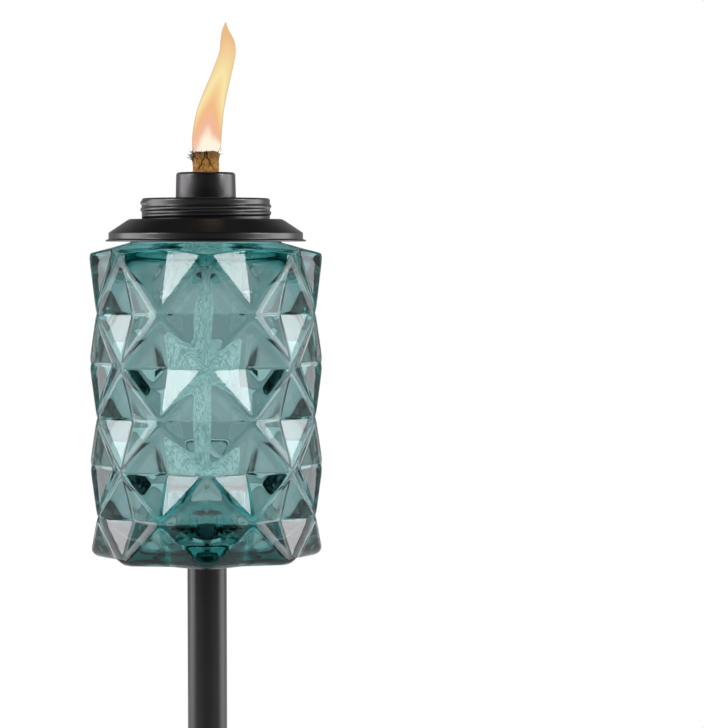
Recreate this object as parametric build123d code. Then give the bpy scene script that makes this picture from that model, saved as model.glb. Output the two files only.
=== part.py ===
from build123d import *
from math import cos, pi, sin
import os

# A garden torch: a faceted glass font of lamp oil, with a screw-on metal lid and a wick, that
# screws on top of a three-piece steel pole with a ground stake. Millimetres, +Z up. The origin
# is on the pole's axis at ground level, and the front is -Y.

# Driving dimensions ------------------------------------------------------------------------

TOTAL_LENGTH = 1651.0        # stake point to wick top
BURIED_LENGTH = 200.0        # what the ground hides
WICK_TOP = 195.3             # above the glass font's standing face
FONT_BASE = TOTAL_LENGTH - BURIED_LENGTH - WICK_TOP      # height of that face above ground

GAP = 0.3                    # between curved faces of pieces that move past each other
PRESS = 0.02                 # between pressed-in faces
RUNNING = 0.08               # between sliding tubes

# Pole
POLE_R = 9.525
POLE_WALL = 0.9
POLE_BORE_R = POLE_R - POLE_WALL
POLE_BOTTOM = -140.0
POLE_TOP = FONT_BASE + 1.0
RING_HEIGHT = 1.5            # collar of a joint spigot, seen between two sections
RING_R = 9.3
SECTION_LENGTH = (POLE_TOP - POLE_BOTTOM - 2 * RING_HEIGHT) / 3
SPIGOT_UP = 45.0
SPIGOT_DOWN = 30.0
SPIGOT_BORE_R = 6.5
STAKE_PLUG = 25.0
STAKE_ROUND_R = 2.5

# Screw between pole and glass font: core, ridge crest and pitch
STUD_FLANGE_R = 14.0
STUD_FLANGE_TOP = 3.0
STUD_TOP = 17.0
STUD_CORE_R = 9.6
STUD_CREST_R = 10.8
STUD_PITCH = 5.0
STUD_RIDGE_START = 9.5
STUD_PLUG = 32.0
WASHER_TOP = 5.0
WASHER_OUTER_R = 14.5
WASHER_INNER_R = STUD_CREST_R + GAP

# Glass font: rows of eight ridge points with eight pushed-in points between them
ROW_HEIGHTS = [0.0, 21.3, 44.1, 68.7, 93.4, 118.2, 146.5]
RIDGE_R = 55.5
PUSHED_IN_R = 47.9
LATTICE_STEPS = 16
LATTICE_TOP = 156.0
BASE_ROUND_R = 4.5
SHOULDER_EDGE = 146.5
SHOULDER_TOP = 151.2
NECK_R = 35.8
NECK_BORE_R = 31.5
RIM = 159.1
CAVITY_RIDGE_R = 49.5         # the inside follows the facets, a wall's thickness in
CAVITY_PUSHED_IN_R = 43.2
CAVITY_FLOOR = 8.0
CAVITY_CEILING = 142.0
CAVITY_CORNER = 12.0
HUMP_TOP = 35.0
HUMP_TOP_R = 17.6
HUMP_FOOT_R = 19.6
RECESS_R = 17.0
RECESS_DEPTH = 5.0
SOCKET_R = 11.4
SOCKET_CREST_R = 10.1
SOCKET_TOP = 30.0

# Screw between glass neck and lid
LID_PITCH = 4.0
NECK_CREST_R = 37.4
LINER_R = 37.9
LINER_OUTER_R = 40.5
LINER_CREST_R = 36.4

# Lid
GASKET_TOP = RIM + 2.0
CUP_FLANGE_TOP = GASKET_TOP + 0.8
CUP_FLANGE_R = 36.6
CUP_INNER_R = 29.7
CUP_R = 30.8
CUP_CREST_R = 31.4
CUP_TOP = 172.9
CUP_PLATE = 1.0
CUP_PITCH = 3.2
VENT_R = 1.2
VENT_PLACE_R = 22.0
COLLAR_R = 14.5
COLLAR_TOP_R = 14.2
COLLAR_TOP = 185.3
COLLAR_WALL = 1.2
TUBE_R = 7.5
TUBE_BORE_R = 6.8
TUBE_BOTTOM = 150.0
NUT_R = 12.0

# Wick and flame
WICK_R = 6.5
# Below the tube the wick swells and hangs a little to one side: height, offset and radius
WICK_HANGING = [
    (41.0, -2.0, 7.4),
    (60.0, -2.2, 8.0),
    (110.0, -1.6, 8.2),
    (128.0, -0.8, 7.9),
    (136.0, 0.0, WICK_R),
]
FLAME_DEPTH = 0.75           # front-to-back size of the flame over its width
# Height above the wick, sideways lean and half width of the flame
FLAME_SECTIONS = [
    (0.0, 0.5, 7.0),
    (6.0, 0.5, 7.05),
    (13.0, 1.2, 6.9),
    (20.0, 2.4, 6.5),
    (27.0, 4.3, 5.9),
    (34.0, 6.6, 5.2),
    (41.0, 8.8, 4.6),
    (48.0, 10.6, 3.95),
    (53.5, 10.5, 3.2),
    (57.6, 9.7, 1.8),
    (60.5, 9.6, 0.7),
    (61.8, 9.8, 0.25),
]


# Helpers -----------------------------------------------------------------------------------

def at(height):
    """Height above ground of a height above the glass font's standing face."""
    return FONT_BASE + height


def turned(points, lift=0.0):
    """Solid turned about the axis from (radius, height) or (radius, height, rounding)."""
    corners = [(point[0], point[1] + lift) for point in points]
    face = make_face(Polyline(*corners, close=True))
    for point, corner in zip(points, corners):
        if len(point) == 3:
            vertex = face.vertices().sort_by_distance(corner)[0]
            face = fillet(vertex, point[2])
    return revolve(Plane.XZ * face, Axis.Z)


def ring(outer, inner, bottom, top, lift=0.0):
    """Plain ring or tube."""
    return turned([(inner, bottom), (outer, bottom), (outer, top), (inner, top)], lift)


def thread_ridge(wall_r, crest_r, pitch, turns, start, angle=0.0, base=1.5, crest=0.6, root=0.4):
    """One raised right-hand thread on a wall, outward where the crest is wider than the wall."""
    side = 1 if crest_r > wall_r else -1
    path = Helix(pitch=pitch, height=pitch * turns, radius=wall_r)
    depth = abs(crest_r - wall_r)
    foot = base + (base - crest) * root / depth
    section_plane = Plane(origin=path @ 0, x_dir=(1, 0, 0), z_dir=path % 0)
    outline = Polyline(
        (-side * root, -foot / 2),
        (side * depth, -crest / 2),
        (side * depth, crest / 2),
        (-side * root, foot / 2),
        close=True,
    )
    ridge = sweep(section_plane * make_face(outline), path=path, is_frenet=True)
    return Pos(0, 0, start) * Rot(0, 0, angle) * ridge


# Pole --------------------------------------------------------------------------------------

def make_stake_tip():
    """Solid pointed end, pressed into the lowest section."""
    return turned([
        (0, POLE_BOTTOM + STAKE_PLUG),
        (POLE_BORE_R - PRESS, POLE_BOTTOM + STAKE_PLUG, 1.0),
        (POLE_BORE_R - PRESS, POLE_BOTTOM),
        (POLE_R - 0.1, POLE_BOTTOM),
        (STAKE_ROUND_R, -BURIED_LENGTH + 2.0, 2.0),
        (0, -BURIED_LENGTH),
    ])


def section_bottom(number):
    """Bottom of pole section 0, 1 or 2."""
    return POLE_BOTTOM + number * (SECTION_LENGTH + RING_HEIGHT)


def make_pole_section(number):
    """Steel tube."""
    bottom = section_bottom(number)
    return ring(POLE_R, POLE_BORE_R, bottom, bottom + SECTION_LENGTH)


def make_joint_spigot(number):
    """Hollow plug, pressed into the section below, that the section above slides onto."""
    ring_bottom = section_bottom(number) + SECTION_LENGTH
    ring_top = ring_bottom + RING_HEIGHT
    return turned([
        (SPIGOT_BORE_R, ring_bottom - SPIGOT_DOWN),
        (POLE_BORE_R - PRESS, ring_bottom - SPIGOT_DOWN, 0.8),
        (POLE_BORE_R - PRESS, ring_bottom),
        (RING_R, ring_bottom),
        (RING_R, ring_top),
        (POLE_BORE_R - RUNNING, ring_top),
        (POLE_BORE_R - RUNNING, ring_top + SPIGOT_UP, 0.8),
        (SPIGOT_BORE_R, ring_top + SPIGOT_UP),
    ])


def make_pole_stud():
    """Threaded plug in the pole's top end that the glass font screws onto."""
    pole_end = POLE_TOP - FONT_BASE
    body = turned([
        (0, pole_end - STUD_PLUG),
        (POLE_BORE_R - PRESS, pole_end - STUD_PLUG, 0.8),
        (POLE_BORE_R - PRESS, pole_end),
        (STUD_FLANGE_R, pole_end),
        (STUD_FLANGE_R, STUD_FLANGE_TOP),
        (STUD_CORE_R, STUD_FLANGE_TOP),
        (STUD_CORE_R, STUD_TOP, 1.5),
        (0, STUD_TOP),
    ], FONT_BASE)
    ridge = thread_ridge(
        STUD_CORE_R, STUD_CREST_R, STUD_PITCH, 1.0, at(STUD_RIDGE_START), base=1.9, crest=0.8
    )
    return body + ridge


def make_base_washer():
    """Rubber ring between the stud's flange and the glass."""
    return ring(WASHER_OUTER_R, WASHER_INNER_R, STUD_FLANGE_TOP, WASHER_TOP, FONT_BASE)


# Glass font --------------------------------------------------------------------------------

def lattice_point(row, step, ridge_r, pushed_in_r):
    """Corner of a faceted wall. The row above the last one makes its upright top band."""
    last = len(ROW_HEIGHTS) - 1
    on_ridge = (min(row, last) + step) % 2 == 0
    radius = ridge_r if on_ridge else pushed_in_r
    angle = 2 * pi * step / LATTICE_STEPS - pi / 2
    height = ROW_HEIGHTS[row] if row <= last else LATTICE_TOP
    return Vector(radius * cos(angle), radius * sin(angle), at(height))


def make_faceted_block(ridge_r, pushed_in_r):
    """Solid block with diamond-shaped pits in rows, each pit made of four flat facets."""
    last = len(ROW_HEIGHTS)
    corners = [
        [lattice_point(row, step, ridge_r, pushed_in_r) for step in range(LATTICE_STEPS + 1)]
        for row in range(last + 1)
    ]
    faces = []
    for row in range(last - 1):
        for step in range(LATTICE_STEPS):
            low_left, low_right = corners[row][step:step + 2]
            high_left, high_right = corners[row + 1][step:step + 2]
            if (row + step) % 2 == 0:
                halves = [(low_left, low_right, high_right), (low_left, high_right, high_left)]
            else:
                halves = [(low_left, low_right, high_left), (low_right, high_right, high_left)]
            for half in halves:
                faces.append(Face(Wire.make_polygon(half)))
    for step in range(LATTICE_STEPS):
        below = corners[last - 1][step:step + 2]
        above = corners[last][step:step + 2]
        faces.append(Face(Wire.make_polygon([*below, *reversed(above)])))
    for row in (0, last):
        faces.append(Face(Wire.make_polygon(corners[row][:-1])))
    return Solid(Shell(faces))


def make_cavity():
    """Oil space: faceted like the outside, with a hump over the socket, and the neck's bore."""
    envelope = turned([
        (0, HUMP_TOP),
        (HUMP_TOP_R, HUMP_TOP, 10.0),
        (HUMP_FOOT_R, CAVITY_FLOOR, 6.0),
        (CAVITY_RIDGE_R + 0.5, CAVITY_FLOOR, CAVITY_CORNER),
        (CAVITY_RIDGE_R + 0.5, CAVITY_CEILING, CAVITY_CORNER),
        (0, CAVITY_CEILING),
    ], FONT_BASE)
    cavity = make_faceted_block(CAVITY_RIDGE_R, CAVITY_PUSHED_IN_R) & envelope
    return cavity + ring(NECK_BORE_R, 0, CAVITY_CEILING - 5, RIM + 2, FONT_BASE)


def make_glass_font():
    """Pressed-glass oil font: faceted outside and inside, threads at neck and base."""
    envelope = turned([
        (0, 0),
        (RIDGE_R + 0.5, 0, BASE_ROUND_R),
        (RIDGE_R + 0.5, SHOULDER_EDGE),
        (NECK_R + 0.5, SHOULDER_TOP),
        (0, SHOULDER_TOP),
    ], FONT_BASE)
    body = make_faceted_block(RIDGE_R, PUSHED_IN_R) & envelope
    body += turned([(0, 120), (NECK_R, 120), (NECK_R, RIM, 1.2), (0, RIM)], FONT_BASE)
    body += thread_ridge(NECK_R, NECK_CREST_R, LID_PITCH, 0.9, at(154.4))
    body -= make_cavity()
    body -= ring(RECESS_R, 0, -1, RECESS_DEPTH, FONT_BASE)
    body -= turned([(0, -1), (SOCKET_R, -1), (SOCKET_R, SOCKET_TOP, 3.0), (0, SOCKET_TOP)], FONT_BASE)
    socket_ridge = thread_ridge(
        SOCKET_R, SOCKET_CREST_R, STUD_PITCH, 1.2, at(STUD_RIDGE_START + STUD_PITCH / 2),
        base=1.9, crest=0.8
    )
    return body + socket_ridge


# Lid ---------------------------------------------------------------------------------------

def make_lid_gasket():
    """Rubber ring on the glass rim."""
    return ring(CUP_FLANGE_R, NECK_BORE_R, RIM, GASKET_TOP, FONT_BASE)


def make_lid_skirt():
    """Conical sheet-metal cover with a short wall and a thin lip turned outward."""
    return turned([
        (45.9, 152.1),
        (48.2, 152.1),
        (48.2, 152.9),
        (46.75, 153.3),
        (46.75, 156.2),
        (45.9, 157.3),
        (38.6, 161.9),
        (37.0, 162.9),
        (31.6, 162.9),
        (31.6, 161.95),
        (36.7, 161.95),
        (37.9, 161.2),
        (45.1, 156.7),
        (45.85, 155.9),
    ], FONT_BASE)


def make_lid_thread_liner():
    """Threaded ring inside the skirt that grips the glass neck."""
    body = turned([
        (LINER_R, 153.2),
        (LINER_OUTER_R, 153.2),
        (LINER_OUTER_R, 159.3),
        (LINER_R, 160.9),
    ], FONT_BASE)
    ridge = thread_ridge(LINER_R, LINER_CREST_R, LID_PITCH, 1.0, at(154.0), angle=144.0)
    return body + ridge


def make_snuffer_thread_cup():
    """Deep-drawn cup with a thread rolled round it, its flange clamped under the skirt."""
    body = turned([
        (CUP_INNER_R, GASKET_TOP),
        (CUP_FLANGE_R, GASKET_TOP),
        (CUP_FLANGE_R, CUP_FLANGE_TOP),
        (CUP_R, CUP_FLANGE_TOP),
        (CUP_R, CUP_TOP, 1.0),
        (TUBE_R + 0.05, CUP_TOP),
        (TUBE_R + 0.05, CUP_TOP - CUP_PLATE),
        (CUP_INNER_R, CUP_TOP - CUP_PLATE),
    ], FONT_BASE)
    body += thread_ridge(
        CUP_R, CUP_CREST_R, CUP_PITCH, 2.1, at(164.2), angle=180.0, base=2.2, crest=0.8
    )
    vent = Pos(0, VENT_PLACE_R, at(CUP_TOP - CUP_PLATE / 2)) * Cylinder(VENT_R, 3 * CUP_PLATE)
    return body - vent


def make_wick_collar():
    """Upside-down cup round the wick."""
    return turned([
        (COLLAR_R - COLLAR_WALL, CUP_TOP),
        (COLLAR_R, CUP_TOP),
        (COLLAR_TOP_R, COLLAR_TOP, 1.2),
        (TUBE_R + 0.05, COLLAR_TOP),
        (TUBE_R + 0.05, COLLAR_TOP - COLLAR_WALL),
        (COLLAR_TOP_R - COLLAR_WALL, COLLAR_TOP - COLLAR_WALL),
    ], FONT_BASE)


def make_wick_tube():
    """Thin tube that the wick passes through."""
    return ring(TUBE_R, TUBE_BORE_R, TUBE_BOTTOM, COLLAR_TOP - 0.1, FONT_BASE)


def make_tube_push_nut():
    """Spring-steel ring that holds the tube under the cup."""
    top = CUP_TOP - CUP_PLATE
    return ring(NUT_R, TUBE_R + PRESS, top - 0.8, top, FONT_BASE)


# Wick and flame ----------------------------------------------------------------------------

def make_wick():
    """Glass-fibre wick, round where the tube holds it and looser in the oil."""
    sections = []
    for height, offset, radius in WICK_HANGING:
        sections.append(Plane(origin=(offset, 0, at(height))) * Circle(radius))
    tube_end = WICK_HANGING[-1][0]
    return loft(sections) + ring(WICK_R, 0, tube_end, WICK_TOP, FONT_BASE)


def make_flame():
    """Outer shape of the burning gas, leaning a little to one side."""
    sections = []
    for height, lean, half_width in FLAME_SECTIONS:
        plane = Plane(origin=(lean, 0, at(WICK_TOP + height)))
        sections.append(plane * Ellipse(half_width, half_width * FLAME_DEPTH))
    return loft(sections)


PIECES = {
    "stake_tip": make_stake_tip(),
    "pole_lower": make_pole_section(0),
    "joint_spigot_lower": make_joint_spigot(0),
    "pole_middle": make_pole_section(1),
    "joint_spigot_upper": make_joint_spigot(1),
    "pole_upper": make_pole_section(2),
    "pole_stud": make_pole_stud(),
    "base_washer": make_base_washer(),
    "glass_font": make_glass_font(),
    "lid_gasket": make_lid_gasket(),
    "lid_skirt": make_lid_skirt(),
    "lid_thread_liner": make_lid_thread_liner(),
    "snuffer_thread_cup": make_snuffer_thread_cup(),
    "wick_collar": make_wick_collar(),
    "wick_tube": make_wick_tube(),
    "tube_push_nut": make_tube_push_nut(),
    "wick": make_wick(),
    "flame": make_flame(),
}

os.makedirs("parts", exist_ok=True)
for name, piece in PIECES.items():
    export_step(piece, f"parts/{name}.step")
    box = piece.bounding_box()
    print(f"{name}: valid {piece.is_valid}, solids {len(piece.solids())}, "
          f"volume {piece.volume / 1000:.2f} cm3, "
          f"z {box.min.Z:.1f} to {box.max.Z:.1f}, x {box.min.X:.2f} to {box.max.X:.2f}")
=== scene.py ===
import random
from math import atan2, cos, exp, log, pi, radians, sin, tan

import bmesh
import bpy
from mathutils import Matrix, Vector


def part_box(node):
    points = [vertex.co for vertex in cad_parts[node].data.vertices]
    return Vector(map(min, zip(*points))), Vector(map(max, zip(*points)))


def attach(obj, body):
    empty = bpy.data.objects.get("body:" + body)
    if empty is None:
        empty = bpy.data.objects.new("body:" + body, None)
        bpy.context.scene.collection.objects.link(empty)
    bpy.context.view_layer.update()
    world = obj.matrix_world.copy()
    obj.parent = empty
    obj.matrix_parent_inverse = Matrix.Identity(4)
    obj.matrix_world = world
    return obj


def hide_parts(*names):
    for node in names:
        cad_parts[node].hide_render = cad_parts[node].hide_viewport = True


bl_info = {
    "name": "Garden Torch",
    "version": (1, 0, 0),
    "blender": (4, 5, 0),
    "location": "3D View > Sidebar > Torch",
    "description": "Builds the looks of a garden torch with a faceted glass font",
    "category": "Add Mesh",
}

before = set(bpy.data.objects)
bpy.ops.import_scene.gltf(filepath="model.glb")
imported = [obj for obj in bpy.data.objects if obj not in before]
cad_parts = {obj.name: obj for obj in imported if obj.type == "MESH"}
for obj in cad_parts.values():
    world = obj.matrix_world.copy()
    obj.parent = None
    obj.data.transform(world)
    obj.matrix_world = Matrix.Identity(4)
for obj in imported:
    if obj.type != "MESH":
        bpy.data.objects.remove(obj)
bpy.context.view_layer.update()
MM = 0.001

GLASS_LOW, GLASS_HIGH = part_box("glass_font")
GLASS_BASE = GLASS_LOW.z             # the glass font's standing face
COLLAR_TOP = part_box("wick_collar")[1].z
WICK_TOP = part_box("wick")[1].z
LOWEST_FIBRE = COLLAR_TOP + 4.6 * MM  # clear of the collar when the wick is drawn down
FLOOR_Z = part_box("stake_tip")[0].z

# Glass: heights of the rows of ridge points, above the standing face, and the round features
ROWS = [row * MM for row in (0.0, 21.3, 44.1, 68.7, 93.4, 118.2, 146.5)]
FACET_STEP = 2 * pi / 16             # between a ridge point and the pushed-in point beside it
GLASS_SEGMENTS = 256
ROW_CUTS = 22                        # rings between two rows outside
CAVITY_CUTS = 14                     # rings between two rows inside
OIL_GROWTH = 0.15                    # millimetres the oil reaches into the glass
OIL_LEVEL = 152.5                    # millimetres above the standing face, in the neck
CAVITY_RIDGE_R = 49.5                # inside wall, in millimetres
CAVITY_PUSHED_IN_R = 43.2
CAVITY_FLOOR = 8.0
CAVITY_CEILING = 142.0
CAVITY_CORNER = 12.0
CAVITY_CORNER_R = 38.0               # where the corner's arc starts
HUMP_TOP = 35.0
NECK_BORE_R = 31.5
INSIDE_BLUNTING = 2.0                # how much rounder the ridges are inside
SHOULDER_EDGE = 146.5 * MM           # height of the shoulder at the ridge points
SHOULDER_SLOPE = 15                  # degrees
SHOULDER_ROUND = 1.6 * MM            # rounding between shoulder and wall
SHOULDER_MEASURE = 146.0 * MM        # height where the shoulder's outline is taken
FOOT_ROUND = 5.0 * MM
SOAKED_LENGTH = 0.045                # of the wick, from its pale part to its top

# Flame: linear colours from the wick upward
FLAME_COLOURS = [
    (0.10, (1.00, 0.90, 0.70)),      # pale foot
    (0.22, (0.90, 0.50, 0.35)),      # peach
    (0.36, (0.90, 0.50, 0.25)),      # amber
    (0.58, (0.95, 0.80, 0.40)),      # yellow
    (0.88, (0.85, 0.50, 0.25)),      # orange tip
]


# Shapes ------------------------------------------------------------------------------------

def smooth_step(value):
    """0 below 0, 1 above 1, and a smooth rise between."""
    value = min(max(value, 0.0), 1.0)
    return value * value * (3 - 2 * value)


def curve_through(table, place, column):
    """Smooth curve through a column of a table, by the table's first column."""
    last = len(table) - 2
    index = 0
    while index < last and table[index + 1][0] < place:
        index += 1
    before = table[max(index - 1, 0)]
    low = table[index]
    high = table[index + 1]
    after = table[min(index + 2, len(table) - 1)]
    span = high[0] - low[0]
    part = (place - low[0]) / span
    slope_low = (high[column] - before[column]) / (high[0] - before[0]) * span
    slope_high = (after[column] - low[column]) / (after[0] - low[0]) * span
    return (
        (2 * part ** 3 - 3 * part ** 2 + 1) * low[column]
        + (part ** 3 - 2 * part ** 2 + part) * slope_low
        + (3 * part ** 2 - 2 * part ** 3) * high[column]
        + (part ** 3 - part ** 2) * slope_high
    )


def rounded_outline(corners, cuts=6):
    """Outline in millimetres with an arc at each corner that has a rounding."""
    points = []
    for number, corner in enumerate(corners):
        here = Vector(corner[:2])
        if len(corner) == 2:
            points.append(here)
            continue
        before = (Vector(corners[number - 1][:2]) - here).normalized()
        after = (Vector(corners[(number + 1) % len(corners)][:2]) - here).normalized()
        half = before.angle(after) / 2
        centre = here + (before + after).normalized() * corner[2] / sin(half)
        first = here + before * corner[2] / tan(half) - centre
        last = here + after * corner[2] / tan(half) - centre
        turn = first.angle_signed(last)
        for cut in range(cuts + 1):
            angle = -turn * cut / cuts
            spoke = Vector((
                first.x * cos(angle) - first.y * sin(angle),
                first.x * sin(angle) + first.y * cos(angle),
            ))
            points.append(centre + spoke)
    return points


def fixed_ring(radius, height):
    """Station of a ring that is the same all round."""
    return lambda angle: (radius, height)


def rings_from(points):
    """Stations in metres from an outline in millimetres above the glass's standing face."""
    return [fixed_ring(x * MM, GLASS_BASE + y * MM) for x, y in points]


def place_ring(verts, station, segments):
    """Moves a ring of points to a station, whose radius and height depend on the angle."""
    step = 2 * pi / segments
    for vert in verts:
        angle = round(atan2(vert.co.x, -vert.co.y) / step) * step
        radius, height = station(angle)
        vert.co = (radius * sin(angle), -radius * cos(angle), height)


def stack_rings(stations, segments, closed=False):
    """Skin through a stack of rings round Z, closed at its ends or joined end to end."""
    bm = bmesh.new()
    made = bmesh.ops.create_circle(
        bm, cap_ends=not closed, cap_tris=True, segments=segments, radius=1.0
    )
    hub = [vert for vert in made["verts"] if vert.co.length < 0.5]
    ring = [vert for vert in made["verts"] if vert.co.length >= 0.5]
    place_ring(ring, stations[0], segments)
    for vert in hub:
        vert.co = (0, 0, ring[0].co.z)
    ring_set = set(ring)
    edges = [edge for edge in bm.edges if set(edge.verts) <= ring_set]
    first_edges = edges
    for station in stations[1:]:
        made = bmesh.ops.extrude_edge_only(bm, edges=edges)["geom"]
        ring = [item for item in made if isinstance(item, bmesh.types.BMVert)]
        ring_set = set(ring)
        edges = [
            item for item in made
            if isinstance(item, bmesh.types.BMEdge) and set(item.verts) <= ring_set
        ]
        place_ring(ring, station, segments)
    if closed:
        bmesh.ops.bridge_loops(bm, edges=edges + first_edges)
    else:
        made = bmesh.ops.extrude_edge_only(bm, edges=edges)["geom"]
        ring = [item for item in made if isinstance(item, bmesh.types.BMVert)]
        bmesh.ops.pointmerge(bm, verts=ring, merge_co=Vector((0, 0, ring[0].co.z)))
    bmesh.ops.recalc_face_normals(bm, faces=bm.faces)
    return bm


def finish_piece(bm, name, body, nodes, material, sharp=35):
    """Makes the piece, gives it its finish, and ties it to its body and the parts it shows."""
    for face in bm.faces:
        face.smooth = True
    mesh = bpy.data.meshes.new(name)
    bm.to_mesh(mesh)
    bm.free()
    mesh.set_sharp_from_angle(angle=radians(sharp))
    mesh.materials.append(material)
    piece = bpy.data.objects.new(name, mesh)
    bpy.context.scene.collection.objects.link(piece)
    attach(piece, body)
    if nodes:
        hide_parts(*nodes)
    return piece


def thread_height(angle, height, start, start_angle, pitch, turns, base, crest):
    """How far up a raised thread's flank a point of the wall is, from 0 to 1."""
    along = ((angle - start_angle) / (2 * pi)) % 1.0
    rise = 0.0
    for turn in range(int(turns) + 2):
        place = along + turn
        if place > turns + 0.02:
            break
        fade = smooth_step(min(place, turns - place) / 0.07)
        away = abs(height - (start + pitch * place))
        flank = 1 - (away - crest / 2) / (base / 2 - crest / 2)
        rise = max(rise, smooth_step(flank) * fade)
    return rise


# Materials ---------------------------------------------------------------------------------

def new_material(name):
    """Material with its node tree, its shader and its link maker."""
    material = bpy.data.materials.new(name)
    material.use_nodes = True
    tree = material.node_tree
    return material, tree, tree.nodes["Principled BSDF"], tree.links.new


def add_noise(tree, coordinates, scale, detail=4.0, roughness=0.55,
              stretch=(1, 1, 1), lean=0.0):
    """Noise on object coordinates, stretched along chosen axes and leaned about Y."""
    mapping = tree.nodes.new("ShaderNodeMapping")
    mapping.vector_type = "TEXTURE"
    mapping.inputs["Rotation"].default_value = (0, lean, 0)
    mapping.inputs["Scale"].default_value = [1 / part for part in stretch]
    tree.links.new(coordinates, mapping.inputs["Vector"])
    noise = tree.nodes.new("ShaderNodeTexNoise")
    noise.inputs["Scale"].default_value = scale
    noise.inputs["Detail"].default_value = detail
    noise.inputs["Roughness"].default_value = roughness
    tree.links.new(mapping.outputs["Vector"], noise.inputs["Vector"])
    return noise.outputs["Fac"]


def add_ramp(tree, factor, stops):
    """Colour ramp from (position, colour) stops."""
    ramp = tree.nodes.new("ShaderNodeValToRGB")
    elements = ramp.color_ramp.elements
    while len(elements) < len(stops):
        elements.new(0.5)
    for element, (position, colour) in zip(elements, stops):
        element.position = position
        element.color = (*colour, 1.0) if len(colour) == 3 else colour
    tree.links.new(factor, ramp.inputs["Fac"])
    return ramp.outputs["Color"]


def add_range(tree, value, low, high, to_low, to_high):
    """Value carried from one range to another."""
    node = tree.nodes.new("ShaderNodeMapRange")
    node.inputs["From Min"].default_value = low
    node.inputs["From Max"].default_value = high
    node.inputs["To Min"].default_value = to_low
    node.inputs["To Max"].default_value = to_high
    tree.links.new(value, node.inputs["Value"])
    return node.outputs["Result"]


def add_math(tree, operation, first, second=None):
    """Arithmetic on one or two values; the second may be a plain number."""
    node = tree.nodes.new("ShaderNodeMath")
    node.operation = operation
    tree.links.new(first, node.inputs[0])
    if isinstance(second, (int, float)):
        node.inputs[1].default_value = second
    elif second is not None:
        tree.links.new(second, node.inputs[1])
    return node.outputs["Value"]


def mix_colours(tree, factor, first, second):
    """Blend of two colours, each a socket or a plain colour."""
    node = tree.nodes.new("ShaderNodeMix")
    node.data_type = "RGBA"
    tree.links.new(factor, node.inputs["Factor"])
    for name, colour in (("A", first), ("B", second)):
        if isinstance(colour, tuple):
            node.inputs[name].default_value = colour
        else:
            tree.links.new(colour, node.inputs[name])
    return node.outputs["Result"]


def multiply_colours(tree, first, second):
    """Product of two colours."""
    node = tree.nodes.new("ShaderNodeMix")
    node.data_type = "RGBA"
    node.blend_type = "MULTIPLY"
    node.inputs["Factor"].default_value = 1.0
    tree.links.new(first, node.inputs["A"])
    tree.links.new(second, node.inputs["B"])
    return node.outputs["Result"]


def add_bump(tree, height, strength, distance, normal=None):
    """Bump from a height."""
    bump = tree.nodes.new("ShaderNodeBump")
    bump.inputs["Strength"].default_value = strength
    bump.inputs["Distance"].default_value = distance
    tree.links.new(height, bump.inputs["Height"])
    if normal is not None:
        tree.links.new(normal, bump.inputs["Normal"])
    return bump.outputs["Normal"]


def object_coordinates(tree):
    """Object coordinates of the piece."""
    return tree.nodes.new("ShaderNodeTexCoord").outputs["Object"]


def make_coloured_glass(settings):
    """Tinted pressed glass: clear shader, with the tint in its depth."""
    material, tree, shader, link = new_material("coloured_glass")
    coordinates = object_coordinates(tree)
    shader.inputs["Transmission Weight"].default_value = 1.0
    shader.inputs["IOR"].default_value = 1.5
    shader.inputs["Base Color"].default_value = (*settings.surface_colour, 1)
    roughness = add_range(tree, add_noise(tree, coordinates, 160.0), 0.3, 0.7, 0.0, 0.035)
    link(roughness, shader.inputs["Roughness"])
    ripple = add_noise(tree, coordinates, 70.0, 2.0)
    link(add_bump(tree, ripple, settings.ripple, 0.0006), shader.inputs["Normal"])
    depth = tree.nodes.new("ShaderNodeVolumeAbsorption")
    depth.inputs["Color"].default_value = (*settings.depth_colour, 1)
    depth.inputs["Density"].default_value = settings.depth_density
    output = tree.nodes["Material Output"]
    link(depth.outputs["Volume"], output.inputs["Volume"])
    return material


def make_lamp_oil():
    """Clear oil. It overlaps the glass a little, so light bends as it does between the two."""
    material, tree, shader, link = new_material("lamp_oil")
    shader.inputs["Base Color"].default_value = (1, 1, 1, 1)
    shader.inputs["Transmission Weight"].default_value = 1.0
    shader.inputs["IOR"].default_value = 1.45
    swirl = add_noise(tree, object_coordinates(tree), 25.0, 1.0)
    link(add_range(tree, swirl, 0.3, 0.7, 0.0, 0.01), shader.inputs["Roughness"])
    return material


def make_black_paint(settings, name, gloss):
    """Satin black paint with a fine orange-peel skin and faint scuffs."""
    material, tree, shader, link = new_material(name)
    coordinates = object_coordinates(tree)
    patches = add_noise(tree, coordinates, 45.0, 5.0)
    dark = tuple(0.75 * part for part in settings.colour)
    light = tuple(1.35 * part for part in settings.colour)
    link(add_ramp(tree, patches, [(0.35, dark), (0.7, light)]), shader.inputs["Base Color"])
    grain = add_noise(tree, coordinates, 1400.0, 3.0)
    smear = add_noise(tree, coordinates, 90.0, 4.0, stretch=(1, 1, 0.15))
    rough = add_range(tree, smear, 0.3, 0.7, settings.roughness - 0.04, settings.roughness + 0.05)
    link(rough, shader.inputs["Roughness"])
    peel = add_bump(tree, add_noise(tree, coordinates, 420.0, 2.0), 0.10, 0.0002)
    link(add_bump(tree, grain, 0.12, 0.00005, peel), shader.inputs["Normal"])
    shader.inputs["Specular IOR Level"].default_value = gloss
    shader.inputs["Coat Weight"].default_value = 0.15
    shader.inputs["Coat Roughness"].default_value = 0.25
    return material


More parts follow.
